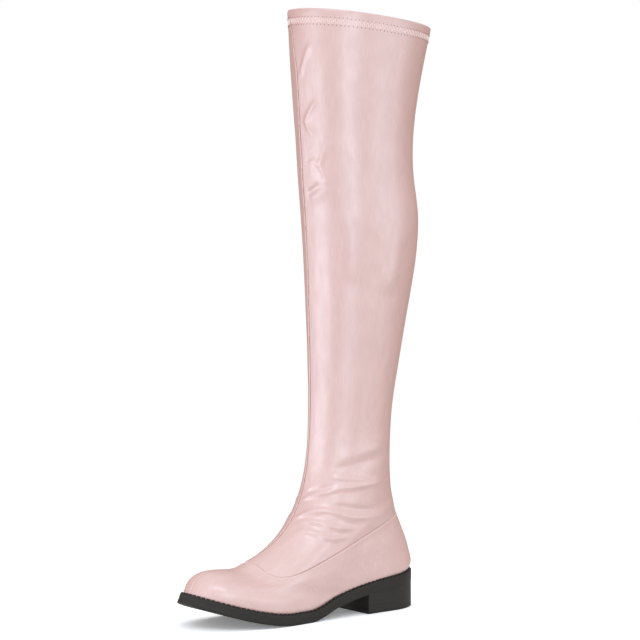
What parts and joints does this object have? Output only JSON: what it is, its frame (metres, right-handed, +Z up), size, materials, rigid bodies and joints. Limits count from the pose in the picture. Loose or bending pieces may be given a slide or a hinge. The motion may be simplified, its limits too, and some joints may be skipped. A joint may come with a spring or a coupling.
{
  "type": "thigh-high boot",
  "caption": "Thigh-high stretch boot for the left foot in pale pink pearl leather, with a low upper, a dark welted sole and a low block heel.",
  "frame": {"origin": "on the floor, under the middle of the boot's bounding box", "axes": "+Z up the leg, -Y towards the toe, +X towards the outer side of the left foot"},
  "size_m": [0.1224, 0.2726, 0.5841],
  "materials": {
    "sole_rubber": "moulded dark charcoal rubber, brushed at the edge",
    "welt_rubber": "dark charcoal strip with a stitched top edge",
    "heel_stack": "dark charcoal block with faint level lines",
    "footbed": "plain pale footbed cloth",
    "pearl_leather": "satin pearl imitation leather with a fine grain",
    "pearl_stretch_leather": "satin pearl stretch imitation leather with a fine woven grain"
  },
  "bodies": {
    "root": {"outsole": "sole_rubber", "welt": "welt_rubber", "heel_block": "heel_stack", "insole": "footbed", "upper": "pearl_leather", "shaft": "pearl_stretch_leather"}
  },
  "joints": []
}
